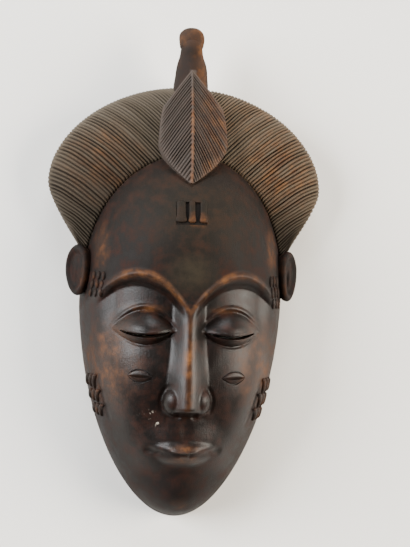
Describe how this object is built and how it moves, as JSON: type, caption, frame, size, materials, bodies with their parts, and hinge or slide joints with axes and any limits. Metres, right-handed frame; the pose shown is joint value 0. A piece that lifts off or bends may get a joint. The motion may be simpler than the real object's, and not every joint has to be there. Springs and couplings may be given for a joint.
{
  "type": "baule mask",
  "caption": "Hollow carved wooden face mask with a combed hairdress, a leaf-shaped crest and a knobbed stalk; it lies on its back.",
  "frame": {"origin": "middle of the rectangle that the mask covers, on the plane that its rim lies on", "axes": "+X to the viewer's right, +Y from the chin to the crest, +Z out of the face"},
  "size_m": [0.2022, 0.36, 0.0884],
  "materials": {
    "carved_wood": "dark stained hardwood, rubbed to a soft shine, orange-brown where it is worn"
  },
  "bodies": {
    "root": {"mask": "carved_wood"}
  },
  "joints": []
}
